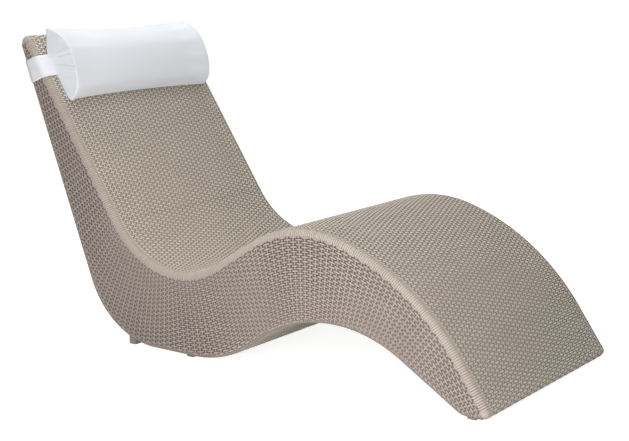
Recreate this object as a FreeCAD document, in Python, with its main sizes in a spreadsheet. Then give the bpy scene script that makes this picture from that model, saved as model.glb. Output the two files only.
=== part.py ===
import FreeCAD, Part
import Sketcher
import math
import os

# Woven wave lounger for a relaxation room: two S-shaped side frames of welded square tube, joined
# by cross tubes and closed all round by a woven skin, with a half-round head pillow that an elastic
# band holds on the backrest. The foot end points to +X, the sitter's left to +Y, and the origin
# is on the floor at the centre of the footprint. Lengths are in millimetres, angles in degrees.

SIZES = [
    # The outline seen from the side, over the weave
    ("overall_height", 900, "top of the head end above the floor"),
    ("body_width", 700, "width over the woven sides"),
    ("floor_gap", 5, "weave above the floor"),
    ("back_angle", 56.2, "slope of the backrest's front face"),
    ("dip_height", 244, "lowest point of the seat"),
    ("dip_radius", 276.4, "round of the seat under the hips"),
    ("thigh_angle", 33.3, "rise of the seat under the thighs"),
    ("knee_height", 423.2, "crest of the seat under the knees"),
    ("knee_radius", 372.7, "round of the crest"),
    ("calf_angle", 16.2, "slope where the calf curve starts"),
    ("calf_radius", 684, "long curve under the calves"),
    ("toe_angle", 54.9, "slope of the foot end"),
    ("rear_angle", 68.9, "slope of the back face"),
    ("heel_radius", 271.7, "curve from the back face to the floor"),
    ("arch_rise_angle", 38.7, "slope of the arch on the head side"),
    ("arch_fall_angle", 31.3, "slope of the arch on the foot side"),
    ("toe_bend_radius", 60, "bend where the arch meets the toe base"),
    ("toe_base_length", 41.5, "flat base behind the foot end"),
    # Woven skin and frame tubes
    ("weave_thickness", 2.3, "thickness of the woven skin"),
    ("seat_gap", 0.3, "gap between pieces that lie on each other"),
    ("rail_size", 25, "side of the square upper and lower rails"),
    ("rail_wall", 2, "wall of the rails"),
    ("head_tube_diameter", 32, "cross tube in the head end"),
    ("toe_tube_diameter", 30, "cross tube in the foot end"),
    ("end_tube_wall", 2, "wall of the head and toe cross tubes"),
    ("cap_length", 15, "stem of the caps in the head and toe cross tubes"),
    ("cap_lip", 2, "straight rim of the caps"),
    ("cap_play", 0.15, "play round the stem of a cap"),
    ("cross_tube_size", 20, "square cross tubes in the seat, the back and the underside"),
    ("cross_tube_wall", 1.5, "wall of the square cross tubes"),
    ("strut_size", 18, "square struts between upper and lower rails"),
    ("strut_wall", 1.5, "wall of the struts"),
    ("seat_bar_width", 20, "flat bars that carry the seat weave"),
    ("seat_bar_thickness", 3, "thickness of the flat bars"),
    ("seat_bar_pitch", 165, "distance from one flat bar to the next"),
    # Glides
    ("glide_length", 25, "side of the square feet"),
    ("glide_foot_length", 21, "side of a foot where it meets the floor"),
    ("glide_foot_height", 2, "bevelled part of a foot"),
    ("glide_peg_size", 8, "square peg of a foot, pressed into the rail"),
    ("glide_peg_grip", 6, "peg inside the rail, past its wall"),
    ("rear_glide_reach", 89, "rear feet, behind the start of the flat belly"),
    ("front_glide_inset", 13, "front belly feet, inside the end of the flat belly"),
    ("toe_glide_inset", 29, "toe feet, behind the centre of the toe cross tube"),
    # Head pillow and its band
    ("pillow_side_margin", 42, "pillow's ends, inside the woven sides"),
    ("pillow_depth", 228, "along the backrest"),
    ("pillow_height", 97, "off the backrest"),
    ("pillow_rise", 6, "pillow's top edge above the head end's tangent line"),
    ("pillow_sag", 8, "how far the middle of the top edge lies below its corners"),
    ("cover_thickness", 1.5, "pillow cover"),
    ("zip_end_margin", 98, "closed zip in the cover's base, short of the pillow's ends"),
    ("zip_width", 6, "width of the closed zip"),
    ("zip_drop", 180, "zip below the head end's tangent line"),
    ("zip_slider_length", 9, "slider parked at the zip's closed end"),
    ("zip_slider_height", 1.1, "height of the slider"),
    ("strap_drop", 54, "band's upper edge below the head end, along the back face"),
    ("strap_width", 70, "width of the band"),
    ("strap_thickness", 1.5, "thickness of the band and of its fabric ends"),
    ("strap_side_reach", 33.3, "elastic on the side, forward of the back face"),
    ("strap_tab_margin", 4.8, "fabric end, short of the back face"),
    ("cut_overrun", 40, "how far a cutting tool passes what it cuts"),
]

# Curve from the floor up to the arch, and the round of the arch, as shares of the knee height that
# the arch goes under
ARCH_FOOT_SHARE = 0.8726
ARCH_SHARE = 0.9757
# Places along the upper outline, the lower outline, and both at once
SEAT_TUBE_SHARES = (0.16, 0.32, 0.44, 0.58, 0.72, 0.87)
UNDER_TUBE_SHARES = (0.16, 0.34, 0.475, 0.565, 0.69, 0.84)
STRUT_SHARES = ((0.14, 0.15), (0.25, 0.27), (0.36, 0.40), (0.47, 0.53), (0.59, 0.66), (0.71, 0.775),
                (0.84, 0.88))
# Flat bars, as shares of their pitch from the middle of the seat
SEAT_BAR_SHARES = (-1, 0, 1)

# Pillow section, as shares of its depth (down the backrest) and height (off it)
PILLOW_BASE_TOP_SHARES = (0.31, 0.0)
PILLOW_BASE_LOW_SHARES = (0.965, 0.0)
PILLOW_LOW_CORNER_SHARES = (0.985, 0.03)
PILLOW_LOW_EDGE_SHARES = (1.0, 0.10)
PILLOW_LOW_FRONT_SHARES = (0.83, 0.72)
PILLOW_CROWN_SHARES = (0.50, 1.0)
PILLOW_HIGH_FRONT_SHARES = (0.22, 0.87)
PILLOW_TOP_EDGE_SHARES = (0.02, 0.53)
PILLOW_TOP_CORNER_SHARES = (0.0, 0.47)
PILLOW_TOP_BACK_SHARES = (0.02, 0.41)
# Sections across the pillow, as shares of its half length, and how full each is
PILLOW_SECTION_SHARES = (-1.0, -0.8, 0.0, 0.8, 1.0)
PILLOW_FULLNESS_SHARES = (0.965, 0.995, 1.0, 0.995, 0.965)

SIDES = (("right", -1), ("left", 1))
HALF_TURN = 180
QUARTER_TURN = 90
# The rounded upper edge is made of this many steps over its quarter turn
EDGE_STEPS = 3

document = FreeCAD.newDocument("wave_lounger")
sheet = document.addObject("Spreadsheet::Sheet", "sizes")
for row, (alias, value, note) in enumerate(SIZES, start=1):
    sheet.set("A%d" % row, alias)
    sheet.set("B%d" % row, str(value))
    sheet.set("C%d" % row, note)
    sheet.setAlias("B%d" % row, alias)
document.recompute()


def size(alias):
    return float(sheet.get(alias))


def sine(degrees):
    return math.sin(math.radians(degrees))


def cosine(degrees):
    return math.cos(math.radians(degrees))


def direction(heading):
    return FreeCAD.Vector(cosine(heading), 0, sine(heading))


def left_of(heading):
    return FreeCAD.Vector(-sine(heading), 0, cosine(heading))


def step_length(step):
    kind, start, heading, reach, turn = step
    return reach if kind == "line" else reach * math.radians(abs(turn))


class Outline:
    """Lines and tangent arcs in the side view; offsets are to the left of the way it runs."""

    def __init__(self, start, heading):
        self.start = start
        self.heading = heading
        self.end = start
        self.end_heading = heading
        self.steps = []

    def line(self, length):
        self.steps.append(("line", self.end, self.end_heading, length, 0))
        self.end = self.end + direction(self.end_heading) * length
        return self

    def arc(self, radius, turn):
        self.steps.append(("arc", self.end, self.end_heading, radius, turn))
        self.end = self.arc_point(self.end, self.end_heading, radius, turn)
        self.end_heading += turn
        return self

    def arc_point(self, start, heading, radius, turn):
        side = math.copysign(1, turn)
        centre = start + left_of(heading) * side * radius
        return centre - left_of(heading + turn) * side * radius

    def edges(self, offset=0):
        """The outline's edges, moved sideways by the offset, as a sketch sees them."""
        found = []
        for kind, start, heading, reach, turn in self.steps:
            first = start + left_of(heading) * offset
            if kind == "line":
                last = first + direction(heading) * reach
                found.append(Part.LineSegment(flat(first), flat(last)))
                continue
            radius = reach - math.copysign(1, turn) * offset
            middle = self.arc_point(first, heading, radius, turn / 2)
            last = self.arc_point(first, heading, radius, turn)
            found.append(Part.Arc(flat(first), flat(middle), flat(last)))
        return found

    def first_point(self, offset=0):
        return flat(self.start + left_of(self.heading) * offset)

    def last_point(self, offset=0):
        return flat(self.end + left_of(self.end_heading) * offset)

    def place(self, share, offset=0):
        """Point and heading at a share of the outline's length."""
        left = share * sum(step_length(step) for step in self.steps)
        for step in self.steps:
            kind, start, heading, reach, turn = step
            if left > step_length(step):
                left -= step_length(step)
            elif kind == "line":
                return start + direction(heading) * left + left_of(heading) * offset, heading
            else:
                part = turn * left / step_length(step)
                point = self.arc_point(start, heading, reach, part)
                return point + left_of(heading + part) * offset, heading + part
        return self.end + left_of(self.end_heading) * offset, self.end_heading

    def trimmed(self, first_cut, last_cut):
        """The same outline with its two end lines shortened."""
        made = Outline(self.start + direction(self.heading) * first_cut, self.heading)
        for number, (kind, start, heading, reach, turn) in enumerate(self.steps, start=1):
            if kind == "arc":
                made.arc(reach, turn)
                continue
            taken = first_cut if number == 1 else 0
            taken += last_cut if number == len(self.steps) else 0
            made.line(reach - taken)
        return made


def flat(vector):
    """A point of the side view as a point of a sketch."""
    return FreeCAD.Vector(vector.x, vector.z, 0)


# Places worked out from the driving sizes
gap = size("seat_gap")
skin = size("weave_thickness")
inside_skin = skin + gap
wall = size("rail_wall")
half_rail = size("rail_size") / 2
edge_radius = half_rail + inside_skin
rail_y = size("body_width") / 2 - edge_radius
rail_far = inside_skin + size("rail_size")
head_radius = size("head_tube_diameter") / 2 + inside_skin
toe_radius = size("toe_tube_diameter") / 2 + inside_skin
back_angle = size("back_angle")
rear_angle = size("rear_angle")
thigh_angle = size("thigh_angle")
calf_angle = size("calf_angle")
toe_angle = size("toe_angle")
floor_gap = size("floor_gap")
overrun = size("cut_overrun")


def upper_outline(head_centre):
    """Seat surface from the head end's tangent line to the toe end's tangent line."""
    start = head_centre + left_of(-back_angle) * head_radius
    bend = 1 - cosine(thigh_angle)
    back_drop = size("dip_height") + size("dip_radius") * (1 - cosine(back_angle))
    thigh_rise = size("knee_height") - size("dip_height")
    thigh_rise -= (size("dip_radius") + size("knee_radius")) * bend
    calf_end = size("knee_height") - size("knee_radius") * (1 - cosine(calf_angle))
    calf_end -= size("calf_radius") * (cosine(calf_angle) - cosine(toe_angle))
    toe_start = floor_gap + toe_radius * (1 + cosine(toe_angle))
    outline = Outline(start, -back_angle)
    outline.line((start.z - back_drop) / sine(back_angle))
    outline.arc(size("dip_radius"), back_angle + thigh_angle)
    outline.line(thigh_rise / sine(thigh_angle))
    outline.arc(size("knee_radius"), -thigh_angle - calf_angle)
    outline.arc(size("calf_radius"), calf_angle - toe_angle)
    return outline.line((calf_end - toe_start) / sine(toe_angle))


def lower_outline(head_centre, belly_length):
    """Back face and underside from the head end's tangent line to the toe cross tube."""
    start = head_centre - left_of(-rear_angle) * head_radius
    rise, fall = size("arch_rise_angle"), size("arch_fall_angle")
    heel_top = floor_gap + size("heel_radius") * (1 - cosine(rear_angle))
    foot_radius, arch_radius = size("knee_height") * ARCH_FOOT_SHARE, size("knee_height") * ARCH_SHARE
    arch_end = floor_gap + foot_radius * (1 - cosine(rise)) + arch_radius * (cosine(fall) - cosine(rise))
    toe_bend_top = floor_gap + size("toe_bend_radius") * (1 - cosine(fall))
    outline = Outline(start, -rear_angle)
    outline.line((start.z - heel_top) / sine(rear_angle))
    outline.arc(size("heel_radius"), rear_angle)
    outline.line(belly_length)
    outline.arc(foot_radius, rise)
    outline.arc(arch_radius, -rise - fall)
    outline.line((arch_end - toe_bend_top) / sine(fall))
    outline.arc(size("toe_bend_radius"), fall)
    return outline.line(size("toe_base_length"))


# The head and toe centres are the axes of the two end tubes; the footprint is centred on the origin
head_centre = FreeCAD.Vector(0, 0, size("overall_height") - head_radius)
toe_centre_x = upper_outline(head_centre).end.x - toe_radius * sine(toe_angle)
head_centre.x = -(toe_centre_x + toe_radius - head_radius) / 2
toe_centre = FreeCAD.Vector(toe_centre_x + head_centre.x, 0, floor_gap + toe_radius)
upper = upper_outline(head_centre)
# The flat stretch on the floor takes up whatever length is left
belly_length = toe_centre.x - lower_outline(head_centre, 0).end.x
lower = lower_outline(head_centre, belly_length)


def whole_top():
    """Upper outline with the rounds over the head and toe tubes."""
    outline = Outline(lower.start, HALF_TURN - rear_angle)
    outline.arc(head_radius, rear_angle - back_angle - HALF_TURN)
    for kind, start, heading, reach, turn in upper.steps:
        outline.line(reach) if kind == "line" else outline.arc(reach, turn)
    return outline.arc(toe_radius, toe_angle - HALF_TURN)


top = whole_top()
nodes = []


def keep(label, made):
    made.Label = label
    nodes.append(made)
    return made


def plane_of(body, role):
    return [feature for feature in body.Origin.OriginFeatures if feature.Role == role][0]


def new_body(label):
    body = document.addObject("PartDesign::Body", label)
    body.Label = label
    return body


def new_sketch(body, name, edges, role="XZ_Plane", offset=None):
    sketch = body.newObject("Sketcher::SketchObject", body.Label + "_" + name)
    sketch.AttachmentSupport = [(plane_of(body, role), "")]
    sketch.MapMode = "FlatFace"
    if offset is not None:
        sketch.AttachmentOffset = offset
    sketch.addGeometry(edges, False)
    return sketch


def loop_edges(points):
    """Straight edges through points of a sketch and back to the first."""
    return [Part.LineSegment(first, last) for first, last in zip(points, points[1:] + points[:1])]


def plane_points(pairs):
    return [FreeCAD.Vector(a, b, 0) for a, b in pairs]


def band_edges(outline, near, far):
    """Closed band between two offsets of an outline."""
    closing = [Part.LineSegment(outline.first_point(near), outline.first_point(far)),
               Part.LineSegment(outline.last_point(near), outline.last_point(far))]
    return outline.edges(near) + outline.edges(far) + closing


def side_offset(y):
    """Attachment offset that moves a side-view sketch to a place across the lounger."""
    return FreeCAD.Placement(FreeCAD.Vector(0, 0, -y), FreeCAD.Rotation())


def pad(body, sketch, length, symmetric=True, kind="PartDesign::Pad", name="pad", away=False):
    made = body.newObject(kind, body.Label + "_" + name)
    made.Profile = sketch
    made.SideType = "Symmetric" if symmetric else "One side"
    made.Reversed = away
    made.setExpression("Length", length)
    return made


def band_body(label, outline, near, far, y, width):
    """A band of the side view, padded across the lounger."""
    body = new_body(label)
    pad(body, new_sketch(body, "outline", band_edges(outline, near, far), offset=side_offset(y)), width)
    return body


def turned_body(label, points, placement):
    """A closed outline of radius and height, turned round its own upright and then placed."""
    body = new_body(label)
    turned = body.newObject("PartDesign::Revolution", label + "_turned")
    turned.Profile = new_sketch(body, "half", loop_edges(plane_points(points)))
    turned.ReferenceAxis = (turned.Profile[0], ["V_Axis"])
    body.Placement = placement
    return body


def box(label, sizes, corner, frame=None):
    """A block from its lowest corner, in a frame of its own."""
    made = document.addObject("Part::Box", label)
    for name, value in zip(("Length", "Width", "Height"), sizes):
        if isinstance(value, str):
            made.setExpression(name, value)
        else:
            setattr(made, name, value)
    place = FreeCAD.Placement(corner, FreeCAD.Rotation())
    made.Placement = place if frame is None else frame.multiply(place)
    return made


def cut(label, base, tool):
    """Base without tool; a tool that takes nothing away is a mistake."""
    document.recompute()
    before = base.Shape.Volume
    made = document.addObject("Part::Cut", label)
    made.Base = base
    made.Tool = tool
    document.recompute()
    made.Label = label
    if not made.Shape.Volume < before:
        raise ValueError("nothing is cut from " + label)
    return made


def fused(label, parts):
    made = document.addObject("Part::MultiFuse", label)
    made.Shapes = parts
    document.recompute()
    return made


def edge_corners(radius):
    """Corners of the rounded edge's flats about the rail's centre, from the top to the side."""
    half = QUARTER_TURN / EDGE_STEPS / 2
    reach = radius / cosine(half)
    angles = [QUARTER_TURN - half * (2 * number + 1) for number in range(EDGE_STEPS)]
    return [(reach * cosine(angle), reach * sine(angle)) for angle in angles]


def swept_body(label, outline, sign, loops):
    """Closed loops of points (across, up) about the rail's centre, swept along a side's outline."""
    body = new_body(label)
    path = new_sketch(body, "path", outline.edges(-edge_radius), offset=side_offset(sign * rail_y))
    start = outline.start + left_of(outline.heading) * -edge_radius
    turned = FreeCAD.Rotation(FreeCAD.Vector(0, 1, 0), QUARTER_TURN - outline.heading)
    place = FreeCAD.Placement(FreeCAD.Vector(start.x, sign * rail_y, start.z), turned)
    edges = []
    for loop in loops:
        edges += loop_edges([FreeCAD.Vector(-up, sign * across, 0) for across, up in loop])
    section = new_sketch(body, "section", edges, role="XY_Plane", offset=place)
    document.recompute()
    swept = body.newObject("PartDesign::AdditivePipe", label + "_sweep")
    swept.Profile = section
    swept.Spine = (path, ["Edge%d" % (n + 1) for n in range(len(outline.steps))])
    return body


def rail_loop(half):
    """Square rail whose upper outer corner follows the woven edge."""
    return [(-half, -half), (-half, half)] + edge_corners(half) + [(half, -half)]


def wrap_loop(inner, outer):
    """The weave's turn over a rail, from the seat to the side."""
    far_side = [(0, outer)] + edge_corners(outer) + [(outer, 0)]
    near_side = [(inner, 0)] + edge_corners(inner)[::-1] + [(0, inner)]
    return far_side + near_side


# Rails: both butt against the head and toe cross tubes, and the lower rail is mitred where the
# two meet near the ends
head_clear = size("head_tube_diameter") / 2 + gap
toe_clear = size("toe_tube_diameter") / 2 + gap
upper_path = upper.trimmed(head_clear, toe_clear)
lower_path = lower.trimmed(head_clear, toe_clear)
upper_space = band_body("upper_rail_space", upper_path.trimmed(-gap, -gap), gap - inside_skin,
                        -rail_far - gap, 0, "sizes.body_width")
lower_space = band_body("lower_rail_space", lower_path.trimmed(-gap, -gap), inside_skin - gap,
                        rail_far + gap, 0, "sizes.body_width")
both_spaces = fused("rail_spaces", [upper_space, lower_space])
for side, sign in SIDES:
    keep("upper_rail_" + side, swept_body("upper_rail_" + side, upper_path, sign,
                                          [rail_loop(half_rail), rail_loop(half_rail - wall)]))

# Feet: square blocks under the lower rails, with a peg through the weave into the rail
belly_start = lower.steps[2][1]
glide_places = (("rear", belly_start.x - size("rear_glide_reach")),
                ("front", belly_start.x + belly_length - size("front_glide_inset")),
                ("toe", toe_centre.x - size("toe_glide_inset")))
under_space = band_body("under_space", lower, -gap, overrun, 0, "sizes.body_width")
half_glide, half_foot = size("glide_length") / 2, size("glide_foot_length") / 2
foot_height = size("glide_foot_height")
peg = size("glide_peg_size")
hole = peg + 2 * gap


def underside_height(x):
    """Height of the weave over the floor, where the heel curve or the flat belly passes."""
    behind = max(belly_start.x - x, 0)
    return floor_gap + size("heel_radius") - math.sqrt(size("heel_radius") ** 2 - behind ** 2)


peg_holes = []
for side, sign in SIDES:
    for name, x in glide_places:
        label = "glide_%s_%s" % (name, side)
        tall = underside_height(x - half_glide) + skin
        profile = [(-half_foot, 0), (half_foot, 0), (half_glide, foot_height), (half_glide, tall),
                   (-half_glide, tall), (-half_glide, foot_height)]
        block = new_body(label + "_block")
        pad(block, new_sketch(block, "side", loop_edges(plane_points(profile))), "sizes.glide_length")
        place = FreeCAD.Vector(x, sign * rail_y, 0)
        block.Placement = FreeCAD.Placement(place, FreeCAD.Rotation())
        peg_top = underside_height(x) + inside_skin + wall + size("glide_peg_grip")
        peg_corner = place + FreeCAD.Vector(-peg / 2, -peg / 2, foot_height)
        stem = box(label + "_peg", (peg, peg, peg_top - foot_height), peg_corner)
        keep(label, fused(label, [cut(label + "_foot", block, under_space), stem]))
        hole_corner = place + FreeCAD.Vector(-hole / 2, -hole / 2, 0)
        peg_holes.append(box(label + "_hole", (hole, hole, peg_top), hole_corner))
holes = fused("peg_holes", peg_holes)

for side, sign in SIDES:
    label = "lower_rail_" + side
    bar = band_body(label + "_bar", lower_path, inside_skin, rail_far, sign * rail_y, "sizes.rail_size")
    bore = new_sketch(bar, "bore", band_edges(lower_path, inside_skin + wall, rail_far - wall),
                      offset=side_offset(sign * rail_y))
    pad(bar, bore, "sizes.rail_size - 2 * sizes.rail_wall", kind="PartDesign::Pocket", name="bore")
    keep(label, cut(label, cut(label + "_mitred", bar, upper_space), holes))

# Head and toe cross tubes, with caps that fill the corners under the woven edge
end_tubes = (("head", head_centre, "head_tube_diameter"), ("toe", toe_centre, "toe_tube_diameter"))
for name, centre, alias in end_tubes:
    tube_radius = size(alias) / 2
    corners = edge_corners(half_rail)
    lip_y = rail_y + corners[0][0] - size("cap_lip")
    tube_end = lip_y - gap
    tube = new_body(name + "_cross_tube")
    circles = [Part.Circle(FreeCAD.Vector(), FreeCAD.Vector(0, 0, 1), radius)
               for radius in (tube_radius, tube_radius - size("end_tube_wall"))]
    section = new_sketch(tube, "section", circles)
    for index, rule in enumerate(("sizes.%s / 2", "sizes.%s / 2 - sizes.end_tube_wall")):
        section.addConstraint(Sketcher.Constraint("Coincident", index, 3, -1, 1))
        radius_index = section.addConstraint(Sketcher.Constraint("Radius", index, circles[index].Radius))
        section.setExpression("Constraints[%d]" % radius_index, rule % alias if "%" in rule else rule)
    made = tube.newObject("PartDesign::Pad", tube.Label + "_pad")
    made.Profile = section
    made.SideType = "Symmetric"
    made.Length = 2 * tube_end
    tube.Placement = FreeCAD.Placement(centre, FreeCAD.Rotation())
    keep(tube.Label, tube)
    stem_radius = tube_radius - size("end_tube_wall") - size("cap_play")
    crown = [(tube_radius - half_rail + up, rail_y + across) for across, up in corners]
    profile = [(0, tube_end - size("cap_length")), (stem_radius, tube_end - size("cap_length")),
               (stem_radius, lip_y), (tube_radius, lip_y)] + crown + [(0, crown[-1][1])]
    caps = []
    for side, sign in SIDES:
        aside = FreeCAD.Rotation(FreeCAD.Vector(0, 0, 1), FreeCAD.Vector(0, sign, 0))
        caps.append(turned_body("%s_cap_%s" % (name, side), profile, FreeCAD.Placement(centre, aside)))
    keep(name + "_tube_caps", fused(name + "_tube_caps", caps))


def hollow_square(outer, tube_wall):
    """Edges of two squares round a sketch's origin."""
    edges = []
    for reach in (outer / 2, outer / 2 - tube_wall):
        corners = [(-reach, -reach), (reach, -reach), (reach, reach), (-reach, reach)]
        edges += loop_edges(plane_points(corners))
    return edges


# Square cross tubes: in the seat between the upper rails, below the flat bars, and in the back and
# the underside on the middle of the lower rails
bar_near = inside_skin
bar_far = bar_near + size("seat_bar_thickness")
half_tube = size("cross_tube_size") / 2
cross_length = "sizes.body_width - 2 * (sizes.weave_thickness + 2 * sizes.seat_gap + sizes.rail_size)"
cross_places = []
for number, share in enumerate(SEAT_TUBE_SHARES, start=1):
    cross_places.append(("seat_cross_tube_%d" % number, upper.place(share, -bar_far - gap - half_tube)))
for number, share in enumerate(UNDER_TUBE_SHARES, start=1):
    cross_places.append(("under_cross_tube_%d" % number, lower.place(share, edge_radius)))
for label, (centre, heading) in cross_places:
    tube = new_body(label)
    edges = hollow_square(size("cross_tube_size"), size("cross_tube_wall"))
    pad(tube, new_sketch(tube, "section", edges), cross_length)
    tube.Placement = FreeCAD.Placement(centre, FreeCAD.Rotation(FreeCAD.Vector(0, -1, 0), heading))
    keep(label, tube)


def clear_of_tube(tube_clear, round_radius):
    """How far a flat bar's end stays from the tangent line of an end tube."""
    return math.sqrt(tube_clear ** 2 - (round_radius - bar_far) ** 2)


# Flat bars under the seat weave, from the head cross tube to the toe cross tube
bar_path = upper.trimmed(clear_of_tube(head_clear, head_radius), clear_of_tube(toe_clear, toe_radius))
for number, share in enumerate(SEAT_BAR_SHARES, start=1):
    label = "seat_bar_%d" % number
    keep(label, band_body(label, bar_path, -bar_near, -bar_far, share * size("seat_bar_pitch"),
                          "sizes.seat_bar_width"))

# Struts between the upper and the lower rail of each side
for side, sign in SIDES:
    for number, (upper_share, lower_share) in enumerate(STRUT_SHARES, start=1):
        high = upper.place(upper_share, -edge_radius)[0]
        low = lower.place(lower_share, edge_radius)[0]
        label = "strut_%s_%d" % (side, number)
        strut = new_body(label + "_tube")
        edges = hollow_square(size("strut_size"), size("strut_wall"))
        made = strut.newObject("PartDesign::Pad", label + "_pad")
        made.Profile = new_sketch(strut, "section", edges, role="XY_Plane")
        made.Length = (high - low).Length
        lean = FreeCAD.Rotation(FreeCAD.Vector(0, 0, 1), high - low)
        strut.Placement = FreeCAD.Placement(low + FreeCAD.Vector(0, sign * rail_y, 0), lean)
        keep(label, cut(label, strut, both_spaces))

# Woven skin: seat, back with underside, sides, and the turns over the upper rails between them
seat_length = "sizes.body_width - 2 * (sizes.rail_size / 2 + sizes.weave_thickness + 2 * sizes.seat_gap)"
keep("seat_weave", band_body("seat_weave", top, 0, -skin, 0, seat_length))
back_path = lower.trimmed(gap, gap)
back_sheet = band_body("back_sheet", back_path, 0, skin, 0,
                       "sizes.body_width - 2 * (sizes.weave_thickness + sizes.seat_gap)")
keep("back_weave", cut("back_weave", back_sheet, holes))
side_depth = edge_radius + gap
for side, sign in SIDES:
    label = "side_weave_" + side
    body = new_body(label)
    closing = [Part.LineSegment(top.first_point(-side_depth), back_path.first_point()),
               Part.LineSegment(top.last_point(-side_depth), back_path.last_point())]
    edges = top.edges(-side_depth) + back_path.edges() + closing
    sketch = new_sketch(body, "outline", edges, offset=side_offset(sign * size("body_width") / 2))
    pad(body, sketch, "sizes.weave_thickness", symmetric=False, away=sign < 0)
    keep(label, body)
    label = "edge_wrap_" + side
    keep(label, swept_body(label, top, sign, [wrap_loop(half_rail + gap, edge_radius)]))

# Head pillow, in a frame whose x runs down the front face, whose y runs across and whose z stands
# off the face
down = direction(-back_angle)
off = left_of(-back_angle)
face_turn = FreeCAD.Rotation(down, FreeCAD.Vector(0, 1, 0), off, "ZXY")
seat_frame = FreeCAD.Placement(upper.start, face_turn)
face_frame = FreeCAD.Placement(upper.start + off * gap, face_turn)
thick = size("cover_thickness")
pillow_length = size("body_width") - 2 * size("pillow_side_margin")


def pillow_wire(y, fullness, sag, inset):
    """One closed section of the pillow, or of what lies that far inside it."""
    depth, height = size("pillow_depth"), size("pillow_height") * fullness

    def point(shares):
        along, up = shares
        return FreeCAD.Vector(depth * along + sag * (1 - along) - size("pillow_rise"), y, height * up)

    corners = [(PILLOW_BASE_LOW_SHARES, PILLOW_LOW_CORNER_SHARES, PILLOW_LOW_EDGE_SHARES),
               (PILLOW_LOW_EDGE_SHARES, PILLOW_LOW_FRONT_SHARES, PILLOW_CROWN_SHARES),
               (PILLOW_CROWN_SHARES, PILLOW_HIGH_FRONT_SHARES, PILLOW_TOP_EDGE_SHARES),
               (PILLOW_TOP_EDGE_SHARES, PILLOW_TOP_CORNER_SHARES, PILLOW_TOP_BACK_SHARES)]
    rounds = [Part.Arc(point(a), point(b), point(c)).toShape() for a, b, c in corners]
    base = Part.LineSegment(point(PILLOW_BASE_TOP_SHARES), point(PILLOW_BASE_LOW_SHARES)).toShape()
    back = Part.LineSegment(point(PILLOW_TOP_BACK_SHARES), point(PILLOW_BASE_TOP_SHARES)).toShape()
    wire = Part.Wire([base] + rounds + [back])
    return wire.makeOffset2D(-inset) if inset else wire


def pillow_solid(inset):
    wires = []
    for share, fullness in zip(PILLOW_SECTION_SHARES, PILLOW_FULLNESS_SHARES):
        y = share * (pillow_length / 2 - inset)
        wires.append(pillow_wire(y, fullness, size("pillow_sag") * (1 - abs(share)), inset))
    return Part.makeLoft(wires, True, True)


def feature(label, shape, placement):
    made = document.addObject("Part::Feature", label)
    made.Shape = shape
    made.Placement = placement
    made.Label = label
    return made


def base_block(label, length, width, height, y, z):
    """A block along the zip in the pillow's base."""
    corner = FreeCAD.Vector(size("zip_drop") - width / 2, y - length / 2, z)
    return box(label, (width, length, height), corner, face_frame)


zip_length = pillow_length - 2 * size("zip_end_margin")
slot_length = zip_length + size("zip_slider_length") + 2 * gap
slot = base_block("zip_slot", slot_length, size("zip_width") + 2 * gap, 2 * thick, 0, -thick)
cover = cut("cover_shell", feature("pillow_outside", pillow_solid(0), face_frame),
            feature("pillow_inside", pillow_solid(thick), face_frame))
keep("headrest_cover", cut("headrest_cover", cover, slot))
keep("headrest_filling", feature("headrest_filling", pillow_solid(thick + gap), face_frame))
coil = base_block("zip_coil", zip_length, size("zip_width"), thick - gap,
                  -size("zip_slider_length") / 2, 0)
slider = base_block("zip_slider", size("zip_slider_length"), size("zip_width"), size("zip_slider_height"),
                    zip_length / 2, 0)
keep("headrest_zip", fused("headrest_zip", [coil, slider]))

# Band: fabric ends on the pillow go over the upper rails and lap the elastic on the sides. The
# band's edges are square to the back face, so the lap slides along that way
rear_down = direction(-rear_angle)
rear_in = left_of(-rear_angle)
strap_turn = FreeCAD.Rotation(rear_down, FreeCAD.Vector(0, 1, 0), rear_in, "ZXY")
strap_frame = FreeCAD.Placement(lower.start + rear_down * size("strap_drop"), strap_turn)
strap_thick = size("strap_thickness")
tab_gap = gap + strap_thick + gap
slant = cosine(QUARTER_TURN / 2)


def tab_bend(radius):
    """Quarter turn about the rail's centre, from the seat to the side."""
    centre = FreeCAD.Vector(0, rail_y, -edge_radius)
    return [centre + FreeCAD.Vector(0, across * radius, up * radius)
            for across, up in ((0, 1), (slant, slant), (1, 0))]


def tab_face(sign):
    """Fabric end, square to the front face: from the pillow over the rail and down the side."""
    near, far = tab_bend(edge_radius + tab_gap), tab_bend(edge_radius + tab_gap + strap_thick)
    pillow_end = pillow_length / 2 + gap
    past_back = -size("strap_drop") - size("strap_width")
    front_near = FreeCAD.Vector(0, pillow_end, near[0].z)
    front_far = FreeCAD.Vector(0, pillow_end, far[0].z)
    deep_near = FreeCAD.Vector(0, near[2].y, past_back)
    deep_far = FreeCAD.Vector(0, far[2].y, past_back)
    edges = [Part.LineSegment(front_near, near[0]), Part.Arc(*near), Part.LineSegment(near[2], deep_near),
             Part.LineSegment(deep_near, deep_far), Part.LineSegment(deep_far, far[2]), Part.Arc(*far),
             Part.LineSegment(far[0], front_far), Part.LineSegment(front_far, front_near)]
    wire = Part.Wire([edge.toShape() for edge in edges])
    return Part.Face(wire if sign > 0 else wire.mirror(FreeCAD.Vector(), FreeCAD.Vector(0, 1, 0)))


for side, sign in SIDES:
    strip_length = size("strap_drop") + 2 * size("strap_width")
    strip_shape = tab_face(sign).extrude(FreeCAD.Vector(strip_length, 0, 0))
    strip = feature("strap_strip_" + side, strip_shape, seat_frame)
    corner = FreeCAD.Vector(0, -size("body_width"), size("strap_tab_margin"))
    slab = box("strap_slab_" + side, ("sizes.strap_width", "2 * sizes.body_width", "sizes.body_width"),
               corner, strap_frame)
    tab = document.addObject("Part::Common", "strap_tab_" + side)
    tab.Base = strip
    tab.Tool = slab
    document.recompute()
    keep("strap_tab_" + side, tab)


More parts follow.
